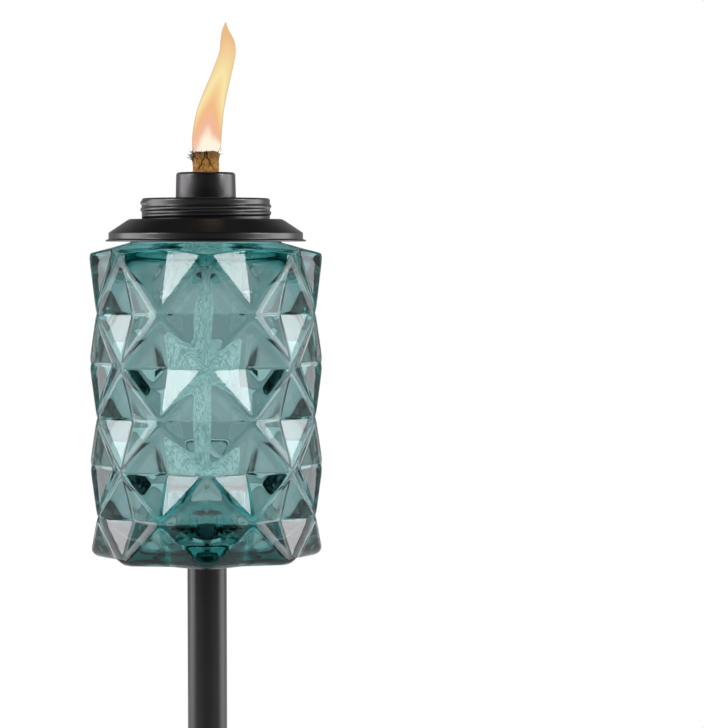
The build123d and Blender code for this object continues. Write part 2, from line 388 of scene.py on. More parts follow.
def make_plain_metal(name, colour, roughness, stretch):
    """Plated or spring steel with turning marks."""
    material, tree, shader, link = new_material(name)
    coordinates = object_coordinates(tree)
    marks = add_noise(tree, coordinates, 900.0, 6.0, stretch=stretch)
    bloom = add_noise(tree, coordinates, 60.0, 4.0)
    darker = tuple(0.72 * part for part in colour)
    link(add_ramp(tree, bloom, [(0.3, darker), (0.65, colour)]), shader.inputs["Base Color"])
    shader.inputs["Metallic"].default_value = 0.8
    link(add_range(tree, marks, 0.3, 0.7, roughness - 0.08, roughness + 0.1),
         shader.inputs["Roughness"])
    link(add_bump(tree, marks, 0.15, 0.00005), shader.inputs["Normal"])
    return material


def make_rubber():
    """Matt black rubber with a moulded skin."""
    material, tree, shader, link = new_material("rubber")
    coordinates = object_coordinates(tree)
    bloom = add_noise(tree, coordinates, 120.0, 5.0)
    tone = add_ramp(tree, bloom, [(0.3, (0.012, 0.012, 0.012)), (0.7, (0.035, 0.034, 0.033))])
    link(tone, shader.inputs["Base Color"])
    link(add_range(tree, bloom, 0.3, 0.7, 0.6, 0.8), shader.inputs["Roughness"])
    link(add_bump(tree, add_noise(tree, coordinates, 900.0), 0.3, 0.0001),
         shader.inputs["Normal"])
    return material


def make_wick_fibre():
    """Glass-fibre wick: pale below, oily brown at the top, with painted shade between its
    strands.
    """
    material, tree, shader, link = new_material("wick_fibre")
    coordinates = object_coordinates(tree)
    split = tree.nodes.new("ShaderNodeSeparateXYZ")
    link(coordinates, split.inputs["Vector"])
    height = add_range(tree, split.outputs["Z"], WICK_TOP - SOAKED_LENGTH, WICK_TOP, 0, 1)
    soaked = add_ramp(tree, height, [
        (0.35, (0.92, 0.92, 0.90)),
        (0.66, (0.30, 0.22, 0.11)),
        (0.80, (0.21, 0.108, 0.020)),
        (0.93, (0.15, 0.075, 0.014)),
        (1.0, (0.07, 0.033, 0.009)),
    ])
    streaks = add_noise(tree, coordinates, 1500.0, 5.0, 0.65, stretch=(1, 1, 0.09))
    patches = add_noise(tree, coordinates, 420.0, 4.0)
    shown = add_range(tree, height, 0.4, 0.8, 0.0, 1.0)
    light = add_ramp(tree, streaks, [(0.3, (0.55, 0.50, 0.44)), (0.72, (1.5, 1.5, 1.5))])
    light = mix_colours(tree, shown, (1.0, 1.0, 1.0, 1), light)
    singed = add_ramp(tree, patches, [(0.35, (0.6, 0.5, 0.42)), (0.62, (1.1, 1.1, 1.1))])
    crossing = add_math(tree, "ADD",
                        add_noise(tree, coordinates, 1100.0, 4.0, 0.7, (1, 1, 0.08), 0.55),
                        add_noise(tree, coordinates, 1100.0, 4.0, 0.7, (1, 1, 0.08), -0.6))
    fuzz = add_ramp(tree, add_range(tree, crossing, 0, 2, 0, 1), [
        (0.44, (0.52, 0.55, 0.56)),
        (0.55, (1.0, 1.0, 1.0)),
    ])
    singed = mix_colours(tree, shown, fuzz, singed)
    # Painted shade: the colour darkens in the seams between the strands, read from the "seam"
    # attribute.
    seam = tree.nodes.new("ShaderNodeAttribute")
    seam.attribute_name = "seam"
    dark = add_ramp(tree, seam.outputs["Fac"], [
        (0.0, (1, 1, 1)),
        (0.55, (0.55, 0.45, 0.36)),
        (1.0, (0.2, 0.14, 0.1)),
    ])
    colour = multiply_colours(tree, multiply_colours(tree, soaked, light),
                              multiply_colours(tree, singed, dark))
    link(colour, shader.inputs["Base Color"])
    link(add_range(tree, patches, 0.3, 0.7, 0.6, 0.9), shader.inputs["Roughness"])
    shader.inputs["Specular IOR Level"].default_value = 0.15
    weave = add_noise(tree, coordinates, 700.0, 3.0, 0.6, stretch=(1, 1, 0.25))
    link(add_bump(tree, streaks, 0.8, 0.0003, add_bump(tree, weave, 0.5, 0.0004)),
         shader.inputs["Normal"])
    return material


def make_charred_fibre():
    """Burnt fibre ends: soot black with grey glints."""
    material, tree, shader, link = new_material("charred_fibre")
    coordinates = object_coordinates(tree)
    soot = add_noise(tree, coordinates, 700.0, 4.0)
    tone = add_ramp(tree, soot, [
        (0.35, (0.003, 0.003, 0.003)),
        (0.6, (0.016, 0.013, 0.012)),
        (0.8, (0.06, 0.045, 0.035)),
    ])
    link(tone, shader.inputs["Base Color"])
    link(add_range(tree, soot, 0.3, 0.7, 0.35, 0.7), shader.inputs["Roughness"])
    return material


def make_flame_gas(settings):
    """Burning gas: its own light, coloured by height and by distance from the middle."""
    material, tree, shader, link = new_material("flame_gas")
    spread = tree.nodes.new("ShaderNodeUVMap")
    spread.uv_map = "flame_spread"
    split = tree.nodes.new("ShaderNodeSeparateXYZ")
    link(spread.outputs["UV"], split.inputs["Vector"])
    across = add_range(tree, split.outputs["X"], 0, 1, -1, 1)
    away = add_math(tree, "ABSOLUTE", across)
    height = add_range(tree, split.outputs["Y"], 0, 1, 0, FLAME_HEIGHT)
    low = add_range(tree, height, 25, 45, 20, 4)
    curve = add_math(tree, "POWER", away, 1.6)
    wisps = add_noise(tree, object_coordinates(tree), 160.0, 2.0, stretch=(1, 1, 0.3))
    pale_foot = add_math(tree, "MULTIPLY", add_range(tree, across, 0, 0.5, 0, 1),
                         add_range(tree, height, 2, 10, 1, 0))
    curve = add_math(tree, "MULTIPLY", curve, add_range(tree, pale_foot, 0, 1, 1, 0.1))
    shift = add_math(tree, "MULTIPLY", curve, low)
    shift = add_math(tree, "ADD", shift, add_range(tree, wisps, 0, 1, -2.5, 2.5))
    effective = add_math(tree, "ADD", height, shift)
    colour = add_ramp(tree, add_range(tree, effective, 0, 64, 0, 1), FLAME_COLOURS)
    edge = add_range(tree, away, 0.88, 1.0, 0, 1)
    rim = mix_colours(tree, add_math(tree, "MULTIPLY", edge, 0.75), colour,
                      (0.6, 0.4, 0.3, 1))
    shader.inputs["Base Color"].default_value = (0, 0, 0, 1)
    shader.inputs["Specular IOR Level"].default_value = 0.0
    shader.inputs["Roughness"].default_value = 1.0
    link(rim, shader.inputs["Emission Color"])
    shader.inputs["Emission Strength"].default_value = settings.brightness
    link(add_range(tree, height, 0, 9, 0.55, 0.94), shader.inputs["Alpha"])
    return material


# Settings ----------------------------------------------------------------------------------

class TorchGlassSettings(bpy.types.PropertyGroup):
    """Sizes and colours of the glass font."""

    ridge_radius: bpy.props.FloatProperty(
        name="Ridge Radius", description="From the axis to the blunted ridge points",
        default=GLASS_HIGH.x, min=0.03, max=0.1, unit="LENGTH", subtype="DISTANCE")
    pit_radius: bpy.props.FloatProperty(
        name="Pit Radius", description="From the axis to the pushed-in points",
        default=47.9 * MM, min=0.03, max=0.1, unit="LENGTH", subtype="DISTANCE")
    ridge_blunting: bpy.props.FloatProperty(
        name="Ridge Blunting", description="How strongly the ridges are rounded",
        default=1.1 * MM, min=0.0001, max=0.003, unit="LENGTH", subtype="DISTANCE")
    surface_colour: bpy.props.FloatVectorProperty(
        name="Surface Colour", description="Tint of the glass surface",
        default=(0.97, 1.0, 1.0), min=0.0, max=1.0, subtype="COLOR")
    depth_colour: bpy.props.FloatVectorProperty(
        name="Depth Colour", description="Colour that thick glass lets through",
        default=(0.29, 0.82, 0.815), min=0.0, max=1.0, subtype="COLOR")
    depth_density: bpy.props.FloatProperty(
        name="Depth Density", description="How fast the colour deepens with thickness, per metre",
        default=100.0, min=0.0, max=500.0)
    ripple: bpy.props.FloatProperty(
        name="Ripple", description="Waviness of the pressed surface",
        default=0.12, min=0.0, max=1.0, subtype="FACTOR")


class TorchPaintSettings(bpy.types.PropertyGroup):
    """Finish of the painted metal."""

    colour: bpy.props.FloatVectorProperty(
        name="Colour", description="Colour of the paint",
        default=(0.0024, 0.0019, 0.0024), min=0.0, max=1.0, subtype="COLOR")
    roughness: bpy.props.FloatProperty(
        name="Roughness", description="Roughness of the satin paint",
        default=0.33, min=0.05, max=1.0, subtype="FACTOR")
    gloss: bpy.props.FloatProperty(
        name="Gloss", description="Strength of the lid's reflections; the pole has half",
        default=0.9, min=0.0, max=1.0, subtype="FACTOR")


class TorchFlameSettings(bpy.types.PropertyGroup):
    """Brightness of the flame."""

    brightness: bpy.props.FloatProperty(
        name="Brightness", description="Strength of the flame's own light",
        default=1.0, min=0.0, max=20.0)


# Glass font --------------------------------------------------------------------------------

def facet_plane(centre, side, tip):
    """Plane of a facet through three points of a pit that faces -Y."""
    normal = (side - centre).cross(tip - centre).normalized()
    if normal.y > 0:
        normal = -normal
    return normal, normal.dot(centre)


def pit_planes(ridge_radius, pit_radius):
    """Upper and lower right-hand facet of one pit in each row."""
    planes = []
    for row, height in enumerate(ROWS):
        centre = Vector((0, -pit_radius, height))
        side = Vector((ridge_radius * sin(FACET_STEP), -ridge_radius * cos(FACET_STEP), height))
        upright = centre + Vector((0, 0, 0.01))
        above = upright
        below = upright
        if row + 1 < len(ROWS):
            above = Vector((0, -ridge_radius, ROWS[row + 1]))
        if row > 0:
            below = Vector((0, -ridge_radius, ROWS[row - 1]))
        planes.append((facet_plane(centre, side, above), facet_plane(centre, side, below)))
    return planes


def plane_radius(plane, angle, height):
    """Distance from the axis to a facet's plane."""
    normal, offset = plane
    slope = normal.x * sin(angle) - normal.y * cos(angle)
    return (offset - normal.z * height) / slope


def make_wall_radius(ridge_radius, pit_radius, blunting):
    """Radius of a faceted wall by angle and height, with blunted ridges."""
    planes = pit_planes(ridge_radius + blunting * log(4) * 0.97, pit_radius)

    def wall_radius(angle, height):
        values = []
        for row, (upper, lower) in enumerate(planes):
            low = ROWS[max(row - 1, 0)] - 6 * MM
            high = ROWS[min(row + 1, len(ROWS) - 1)] + 6 * MM
            if not low <= height <= high:
                continue
            steps = (angle / FACET_STEP - (row + 1)) % 2
            for away in (steps, 2 - steps):
                side = away * FACET_STEP
                values.append(max(
                    plane_radius(upper, side, height), plane_radius(lower, side, height)
                ))
        nearest = min(values)
        total = sum(exp((nearest - value) / blunting) for value in values)
        return nearest - blunting * log(total)

    return wall_radius


def cavity_stations(settings, growth, top):
    """Rings of the oil space from its hump to a height in the neck, grown into the glass."""
    wall_radius = make_wall_radius(
        CAVITY_RIDGE_R * MM, CAVITY_PUSHED_IN_R * MM, INSIDE_BLUNTING * settings.ridge_blunting)
    stations = rings_from(rounded_outline([
        (5.0, HUMP_TOP - growth),
        (17.6 - growth, HUMP_TOP - growth, 10.0),
        (19.6 - growth, CAVITY_FLOOR - growth, 6.0),
        (CAVITY_CORNER_R, CAVITY_FLOOR - growth),
    ], cuts=12))

    def wall(radius, height):
        def station(angle):
            faceted = wall_radius(angle, height * MM)
            return min(radius * MM, faceted) + growth * MM, GLASS_BASE + height * MM
        return station

    def corner(tilt, centre_height):
        height = centre_height + CAVITY_CORNER * sin(tilt)
        radius = CAVITY_CORNER_R + CAVITY_CORNER * cos(tilt)

        def station(angle):
            faceted = wall_radius(angle, height * MM)
            return (
                min(radius * MM, faceted) + growth * MM * cos(tilt),
                GLASS_BASE + (height + growth * sin(tilt)) * MM,
            )
        return station

    lowest = CAVITY_FLOOR + CAVITY_CORNER
    highest = CAVITY_CEILING - CAVITY_CORNER
    widest = CAVITY_CORNER_R + CAVITY_CORNER
    stations += [corner(radians(tilt), lowest) for tilt in range(-84, 0, 6)]
    heights = [lowest]
    for row in range(1, len(ROWS)):
        low, high = ROWS[row - 1] / MM, ROWS[row] / MM
        heights += [low + (high - low) * cut / CAVITY_CUTS for cut in range(CAVITY_CUTS)]
    heights = [height for height in heights if lowest <= height <= highest - 0.5]
    stations += [wall(widest, height) for height in heights]
    stations += [corner(radians(tilt), highest) for tilt in range(0, 90, 6)]
    stations += rings_from(rounded_outline([
        (CAVITY_CORNER_R, CAVITY_CEILING + growth),
        (NECK_BORE_R + growth, CAVITY_CEILING + growth, 1.8),
        (NECK_BORE_R + growth, top),
        (5.0, top),
    ], cuts=6)[:-1])
    return stations


def shoulder_height(radius):
    """Height of the conical shoulder above the standing face."""
    return SHOULDER_EDGE + (GLASS_HIGH.x - radius) * tan(radians(SHOULDER_SLOPE))


def glass_stations(settings):
    """Rings from the hump inside, over the rim and down the outside, to the socket's top."""
    wall_radius = make_wall_radius(
        settings.ridge_radius, settings.pit_radius, settings.ridge_blunting)
    stations = cavity_stations(settings, 0.0, 157.9)
    stations += rings_from([(31.85, 158.75), (32.7, 159.1), (33.7, 159.1)])
    stations += rings_from([(34.6, 159.1), (35.35, 158.75), (35.8, 158.0)])

    def neck(height):
        return lambda angle: (
            35.8 * MM + 1.6 * MM * thread_height(
                angle, height, 154.4, pi / 2, 4.0, 0.9, 1.6, 0.5),
            GLASS_BASE + height * MM,
        )

    stations += [neck(158.0 - 0.3 * cut) for cut in range(1, 19)]
    stations += rings_from([(36.0, 152.0), (36.6, 151.65)])
    edge = SHOULDER_ROUND
    steepest = radians(90 - SHOULDER_SLOPE)

    def shoulder(part):
        def station(angle):
            edge_radius = wall_radius(angle, SHOULDER_MEASURE)
            inner = 37.4 * MM
            radius = inner + (edge_radius - edge * (1 - cos(steepest)) - inner) * part
            return radius, GLASS_BASE + shoulder_height(radius)
        return station

    def shoulder_edge(tilt):
        def station(angle):
            edge_radius = wall_radius(angle, SHOULDER_MEASURE)
            start = edge_radius - edge + edge * cos(steepest)
            drop = edge * (sin(steepest) - sin(tilt))
            height = shoulder_height(start) - drop
            return edge_radius - edge + edge * cos(tilt), GLASS_BASE + height
        return station

    def wall_top(angle):
        edge_radius = wall_radius(angle, SHOULDER_MEASURE)
        start = edge_radius - edge + edge * cos(steepest)
        return shoulder_height(start) - edge * sin(steepest)

    stations += [shoulder(part / 10) for part in range(10)]
    stations += [shoulder_edge(steepest * (1 - cut / 6)) for cut in range(7)]

    def wall(row, part):
        def station(angle):
            top = ROWS[row] if row < len(ROWS) - 1 else wall_top(angle)
            bottom = ROWS[row - 1] if row > 1 else FOOT_ROUND
            height = top + (bottom - top) * part
            return wall_radius(angle, min(height, 146.4 * MM)), GLASS_BASE + height
        return station

    for row in range(len(ROWS) - 1, 0, -1):
        stations += [wall(row, cut / ROW_CUTS) for cut in range(1, ROW_CUTS + 1)]

    def foot_edge(tilt):
        def station(angle):
            height = FOOT_ROUND - FOOT_ROUND * sin(tilt)
            radius = wall_radius(angle, height) - FOOT_ROUND + FOOT_ROUND * cos(tilt)
            return radius, GLASS_BASE + height
        return station

    stations += [foot_edge(radians(90 * cut / 10)) for cut in range(1, 11)]
    stations += rings_from([(40.0, 0.0), (30.0, 0.0)])
    stations += rings_from(rounded_outline([(20.0, 0.0), (17.0, 0.0, 0.8), (17.0, 5.0, 0.8),
                                            (12.6, 5.0)], cuts=4))

    def socket(height):
        return lambda angle: (
            11.4 * MM - 1.3 * MM * thread_height(
                angle, height, 12.0, pi / 2, 5.0, 1.2, 2.0, 0.7),
            GLASS_BASE + height * MM,
        )

    stations += rings_from([(11.8, 5.15)])
    stations += [socket(5.6 + 0.45 * cut) for cut in range(48)]
    stations += rings_from(rounded_outline([(11.4, 27.0), (11.4, 30.0, 3.0), (5.0, 30.0)],
                                           cuts=5)[1:])
    return stations


class TORCH_OT_glass_font(bpy.types.Operator):
    """Build the faceted glass font and the lamp oil in it"""

    bl_idname = "torch.glass_font"
    bl_label = "Glass Font"

    def execute(self, context):
        settings = context.scene.torch_glass
        bm = stack_rings(glass_stations(settings), GLASS_SEGMENTS)
        finish_piece(bm, "faceted_glass_font", "font_body", ["glass_font"],
                     make_coloured_glass(settings), sharp=55)
        bm = stack_rings(cavity_stations(settings, OIL_GROWTH, OIL_LEVEL), GLASS_SEGMENTS)
        finish_piece(bm, "lamp_oil", "font_body", [], make_lamp_oil(),
                     sharp=55)
        return {"FINISHED"}


# Lid ---------------------------------------------------------------------------------------

def thread_cup_stations():
    """Closed profile of the drawn cup, with its rolled thread outside and inside."""
    flange = rounded_outline([(30.2, 161.1), (36.6, 161.1), (36.6, 161.9), (31.4, 161.9)], 4)
    stations = rings_from(flange)

    def side(radius, height):
        return lambda angle: (
            radius * MM + 0.68 * MM * thread_height(
                angle, height, 164.2, 3 * pi / 2, 3.2, 2.1, 2.9, 0.3),
            GLASS_BASE + height * MM,
        )

    stations += [side(30.8, 162.0 + 0.22 * cut) for cut in range(44)]
    stations += rings_from(rounded_outline([(30.8, 171.7), (30.8, 172.9, 1.15), (8.2, 172.9)],
                                           cuts=6)[1:])
    stations += rings_from([(7.55, 172.6), (7.55, 171.9), (29.0, 171.9), (29.7, 171.2),
                            (29.7, 161.4)])
    return stations


LID_PIECES = {
    "conical_lid_skirt": ("lid_skirt", [
        (45.95, 152.1),
        (48.2, 152.1, 0.35),
        (48.2, 152.85, 0.3),
        (46.75, 153.2, 0.7),
        (46.75, 156.3, 1.1),
        (38.2, 162.0, 0.8),
        (36.6, 162.9, 1.6),
        (31.6, 162.9, 0.3),
        (31.6, 161.95),
        (36.7, 161.95),
        (37.9, 161.2, 0.5),
        (45.1, 156.7, 0.4),
        (45.85, 155.9),
    ]),
    "round_wick_collar": ("wick_collar", [
        (13.3, 172.9),
        (14.5, 172.9, 0.25),
        (14.2, 185.3, 1.5),
        (7.55, 185.3, 0.3),
        (7.55, 184.1),
        (13.0, 184.1, 0.5),
    ]),
}


class TORCH_OT_lid(bpy.types.Operator):
    """Build the painted lid: skirt, threaded cup and wick collar"""

    bl_idname = "torch.lid"
    bl_label = "Lid"

    def execute(self, context):
        settings = context.scene.torch_paint
        paint = make_black_paint(settings, "lid_paint", settings.gloss)
        for name, (node, corners) in LID_PIECES.items():
            bm = stack_rings(rings_from(rounded_outline(corners)), 160, closed=True)
            finish_piece(bm, name, "lid_body", [node], paint)
        bm = stack_rings(thread_cup_stations(), 160, closed=True)
        finish_piece(bm, "threaded_cup", "lid_body", ["snuffer_thread_cup"],
                     paint)
        return {"FINISHED"}


# Wick --------------------------------------------------------------------------------------

WICK_CENTRES = [0.0, 1.62, 3.05, 4.66]       # angles where the strands of a plait part
WICK_RIM = WICK_TOP - 0.7 * MM       # mean height of the strands' ends
PLAIT_LENGTH = 8.5 * MM
WICK_SEGMENTS = 120
FIBRES = 38
FIBRES_ON_THE_LEFT = 24
# Height above the glass's standing face, sideways offset and radius, in millimetres
WICK_HANGING = [
    (41.0, -2.0, 7.3),
    (60.0, -2.2, 7.9),
    (110.0, -1.6, 8.1),
    (128.0, -0.8, 7.8),
    (136.0, 0.0, 6.45),
    (200.0, 0.0, 6.45),
]


def seam_depth(angle, drop):
    """How deep in a seam between strands a point of the wick is, from 0 to 1."""
    depth = 0.0
    for number, centre in enumerate(WICK_CENTRES):
        away = (angle - centre + pi) % (2 * pi) - pi
        stagger = 0.3 * (number % 2) * PLAIT_LENGTH
        along = (drop + stagger) % PLAIT_LENGTH
        wander = 0.05 * sin(1900 * drop + 2 * number)
        spread = 0.62 * (along / PLAIT_LENGTH) ** 1.3 + wander
        thin = 0.085 - 0.055 * along / PLAIT_LENGTH
        depth = max(depth, smooth_step(1.25 - abs(abs(away) - spread) / thin))
    return depth


def strand_top(angle):
    """How far the domed ends of the strands rise above or stay below the wick's top."""
    rise = 0.45 * sin(angle + 0.5) + 0.35 * sin(3 * angle - 0.4) + 0.2 * sin(7 * angle + 2)
    return rise * 0.55 * MM


def wick_radius(angle, drop):
    """Radius of the wick by angle and distance below its top."""
    shown = 1 - smooth_step((drop - 9 * MM) / (8 * MM))
    groove = seam_depth(angle, drop) * shown
    bulge = (0.14 * sin(2 * angle + 1.1) + 0.42) * shown + 0.10 * sin(5 * angle + 900 * drop)
    height = (WICK_TOP - GLASS_BASE - drop) / MM
    full = curve_through(WICK_HANGING, max(height, WICK_HANGING[0][0]), 2)
    flare = 0.42 * (1 - smooth_step(drop / (4 * MM)))
    return (full + flare + bulge - 0.35 - 0.75 * groove) * MM


def wick_stations():
    """Rings from the wick's bottom to the middle of its top."""
    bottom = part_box("wick")[0].z
    top = WICK_RIM

    def side(drop):
        return lambda angle: (
            wick_radius(angle, drop),
            top - drop + strand_top(angle) * (1 - smooth_step(drop / (5 * MM))),
        )

    def crown(part):
        tilt = radians(90 * part)

        def station(angle):
            radius = wick_radius(angle, 0.8 * MM)
            inset = 2.2 * MM * (1 - cos(tilt))
            seam = seam_depth(angle, 0.6 * MM) * cos(tilt) ** 2
            return radius - inset, top - 0.8 * MM + strand_top(angle) + (
                1.4 * sin(tilt) - 0.8 * seam) * MM
        return station

    def end(part):
        def station(angle):
            radius = (wick_radius(angle, 0.8 * MM) - 2.2 * MM) * (1 - part) + 0.3 * MM * part
            dip = 0.9 * smooth_step(part * 1.2) + 0.25 * sin(4 * angle + 9 * part)
            return radius, top + 0.6 * MM - dip * MM + strand_top(angle) * (1 - part)
        return station

    length = top - bottom
    drops = [length - (length - 16 * MM) * cut / 90 for cut in range(91)]
    drops += [16 * MM - 0.3 * MM * cut for cut in range(1, 51)]
    stations = [side(drop) for drop in drops]
    stations += [crown(cut / 7) for cut in range(8)]
    stations += [end(cut / 9) for cut in range(1, 10)]
    return stations


def grow_fibre(bm, path, thickness):
    """Thin tapering fibre along a path."""
    made = bmesh.ops.create_circle(bm, cap_ends=True, segments=5, radius=1.0)
    ring = made["verts"]
    edges = list({edge for vert in ring for edge in vert.link_edges})
    for number, point in enumerate(path):
        if number:
            made = bmesh.ops.extrude_edge_only(bm, edges=edges)["geom"]
            ring = [item for item in made if isinstance(item, bmesh.types.BMVert)]
            ring_set = set(ring)
            edges = [
                item for item in made
                if isinstance(item, bmesh.types.BMEdge) and set(item.verts) <= ring_set
            ]
        before = path[max(number - 1, 0)]
        after = path[min(number + 1, len(path) - 1)]
        along = (after - before).normalized()
        across = along.cross(Vector((0.3, 0.2, 0.93))).normalized()
        other = along.cross(across)
        taper = thickness * (1 - 0.75 * number / (len(path) - 1))
        for corner, vert in enumerate(ring):
            turn = 2 * pi * corner / len(ring)
            vert.co = point + (across * cos(turn) + other * sin(turn)) * taper
    bmesh.ops.contextual_create(bm, geom=edges)


def fibre_path(draw, angle, drop, length, outward, curl):
    """Curly path that leaves the wick's side near its top."""
    radius = wick_radius(angle, drop) - 0.3 * MM
    start = max(WICK_RIM - drop, LOWEST_FIBRE)
    point = Vector((radius * sin(angle), -radius * cos(angle), start))
    heading = Vector((outward * sin(angle), -outward * cos(angle), draw.uniform(0.2, 1.0)))
    path = [point.copy()]
    bend = Vector((draw.uniform(-1, 1), draw.uniform(-1, 1), draw.uniform(-1, 1))) * curl
    for _ in range(7):
        heading = (heading.normalized() + bend * 0.5).normalized()
        bend = bend * 0.75 + Vector((
            draw.uniform(-1, 1), draw.uniform(-1, 1), draw.uniform(-1, 1)
        )) * 0.25 * curl
        point = point + heading * length / 7
        point.z = min(max(point.z, LOWEST_FIBRE), WICK_TOP + 3.2 * MM)
        path.append(point.copy())
    return path


class TORCH_OT_wick(bpy.types.Operator):
    """Build the plaited wick and its charred, frayed fibres"""

    bl_idname = "torch.wick"
    bl_label = "Wick"

    def execute(self, context):
        bm = stack_rings(wick_stations(), WICK_SEGMENTS)
        # Painted shade: the "seam" attribute darkens the wick's colour in the seams between its
        # strands, on its sides and near its top.
        seam = bm.verts.layers.float.new("seam")
        for vert in bm.verts:
            drop = max(WICK_RIM - vert.co.z, 0.6 * MM)
            near_side = smooth_step((vert.co.xy.length - 3 * MM) / (2 * MM))
            shown = 1 - smooth_step((drop - 9 * MM) / (8 * MM))
            vert[seam] = seam_depth(atan2(vert.co.x, -vert.co.y), drop) * near_side * shown
            height = (vert.co.z - GLASS_BASE) / MM
            vert.co.x += curve_through(WICK_HANGING, height, 1) * MM
        finish_piece(bm, "braided_wick", "wick_body", ["wick"], make_wick_fibre(),
                     sharp=80)
        draw = random.Random(11)
        bm = bmesh.new()
        for number in range(FIBRES):
            to_the_left = number < FIBRES_ON_THE_LEFT
            angle = -pi / 2 + draw.gauss(0.15, 0.5) if to_the_left else draw.uniform(-pi, pi)
            drop = draw.uniform(0.2, 4.4) * MM if to_the_left else draw.uniform(0.0, 2.2) * MM
            length = draw.uniform(1.8, 4.8) * MM if to_the_left else draw.uniform(1.2, 3.2) * MM
            outward = draw.uniform(0.3, 1.1) if to_the_left else draw.uniform(-0.9, 0.8)
            path = fibre_path(draw, angle, drop, length, outward, draw.uniform(0.5, 1.5))
            grow_fibre(bm, path, draw.uniform(0.16, 0.30) * MM)
        bmesh.ops.recalc_face_normals(bm, faces=bm.faces)
        finish_piece(bm, "wick_frayed_fibres", "wick_body", [],
                     make_charred_fibre(), sharp=80)
        return {"FINISHED"}


# Flame -------------------------------------------------------------------------------------

# Height above the wick, sideways lean and half width, in millimetres
FLAME_OUTLINE = [
    (0.0, 0.5, 7.0),
    (6.0, 0.5, 7.05),
    (13.0, 1.2, 6.9),
    (20.0, 2.4, 6.5),
    (27.0, 4.3, 5.9),
    (34.0, 6.6, 5.2),
    (41.0, 8.8, 4.6),
    (48.0, 10.6, 3.95),
    (53.5, 10.5, 3.2),
    (57.6, 9.7, 1.8),
    (60.5, 9.6, 0.7),
    (61.8, 9.8, 0.25),
]
FLAME_HEIGHT = FLAME_OUTLINE[-1][0]
FLAME_DEPTH = 0.75                   # front-to-back size over width


class TORCH_OT_flame(bpy.types.Operator):
    """Build the flame"""

    bl_idname = "torch.flame"
    bl_label = "Flame"

    def execute(self, context):
        heights = [FLAME_HEIGHT * cut / 90 for cut in range(91)]
        stations = [
            fixed_ring(curve_through(FLAME_OUTLINE, height, 2) * MM, height)
            for height in heights
        ]
        bm = stack_rings(stations, 64)
        spread = bm.loops.layers.uv.new("flame_spread")
        for face in bm.faces:
            for loop in face.loops:
                place = loop.vert.co
                half_width = curve_through(FLAME_OUTLINE, place.z, 2) * MM
                across = min(max(place.x / half_width, -1.0), 1.0)
                loop[spread].uv = (0.5 + 0.5 * across, place.z / FLAME_HEIGHT)
        for vert in bm.verts:
            height = vert.co.z
            vert.co.x += curve_through(FLAME_OUTLINE, height, 1) * MM
            vert.co.y *= FLAME_DEPTH
            vert.co.z = WICK_TOP + height * MM
        finish_piece(bm, "leaning_flame", "wick_body", ["flame"],
                     make_flame_gas(context.scene.torch_flame), sharp=80)
        return {"FINISHED"}


# Metal parts that keep their CAD shape -----------------------------------------------------

class TORCH_OT_metal_parts(bpy.types.Operator):
    """Give the pole, its screw, and the parts inside the lid their finishes"""

    bl_idname = "torch.metal_parts"
    bl_label = "Metal Parts"

    def execute(self, context):
        settings = context.scene.torch_paint
        paint = make_black_paint(settings, "pole_paint", 0.5 * settings.gloss)
        liner = make_black_paint(settings, "liner_paint", 0.2 * settings.gloss)
        zinc = make_plain_metal("zinc_plate", (0.62, 0.63, 0.65), 0.42, (1, 1, 0.05))
        spring = make_plain_metal("spring_steel", (0.28, 0.29, 0.31), 0.4, (1, 1, 1))
        rubber = make_rubber()
        finishes = {
            paint: ["stake_tip", "pole_lower", "pole_middle", "pole_upper"],
            liner: ["lid_thread_liner"],
            zinc: ["joint_spigot_lower", "joint_spigot_upper", "pole_stud", "wick_tube"],
            spring: ["tube_push_nut"],
            rubber: ["base_washer", "lid_gasket"],
        }
        for material, names in finishes.items():
            for name in names:
                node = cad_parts[name]
                node.data.materials.clear()
                node.data.materials.append(material)
        return {"FINISHED"}


# Stage -------------------------------------------------------------------------------------

CAMERA_DISTANCE = 1.16               # from the torch's axis
CAMERA_HEIGHT = GLASS_BASE + 0.1547
CAMERA_TURN = radians(3.476)         # to the right of the torch
CAMERA_TILT = radians(3.05)
LENS = 118.7
FLOOR_HALF_SIZE = 6.0
CARD_RADIUS = 1.5                    # dark card under the glass, out of the camera's sight
CARD_DROP = 0.45                     # below the glass
MATT_LIGHT = 2.3                     # strength of the background on matt surfaces


def make_backdrop_world():
    """White round the torch's back and sides, and darker behind the camera."""
    world = bpy.data.worlds.new("studio")
    bpy.context.scene.world = world
    world.use_nodes = True
    tree = world.node_tree
    background = tree.nodes["Background"]
    direction = tree.nodes.new("ShaderNodeTexCoord").outputs["Generated"]
    split = tree.nodes.new("ShaderNodeSeparateXYZ")
    tree.links.new(direction, split.inputs["Vector"])
    tone = add_ramp(tree, add_range(tree, split.outputs["Y"], -1, 1, 0, 1), [
        (0.0, (0.03, 0.03, 0.03)),
        (0.35, (0.05, 0.05, 0.052)),
        (0.50, (0.42, 0.42, 0.425)),
        (0.70, (0.42, 0.42, 0.425)),
        (0.85, (0.36, 0.36, 0.365)),
        (1.0, (0.38, 0.38, 0.385)),
    ])
    level = add_ramp(tree, add_range(tree, split.outputs["Z"], -1, 1, 0, 1), [
        (0.15, (0.12, 0.12, 0.12)),
        (0.42, (1, 1, 1)),
        (0.62, (1, 1, 1)),
        (0.85, (0.08, 0.08, 0.08)),
    ])
    tone = multiply_colours(tree, tone, level)
    path = tree.nodes.new("ShaderNodeLightPath")
    bounced = add_math(tree, "MINIMUM", path.outputs["Diffuse Depth"], 1.0)
    lit = mix_colours(tree, bounced, tone, (MATT_LIGHT, MATT_LIGHT, MATT_LIGHT, 1))
    seen = mix_colours(tree, path.outputs["Is Camera Ray"], lit, (1, 1, 1, 1))
    tree.links.new(seen, background.inputs["Color"])


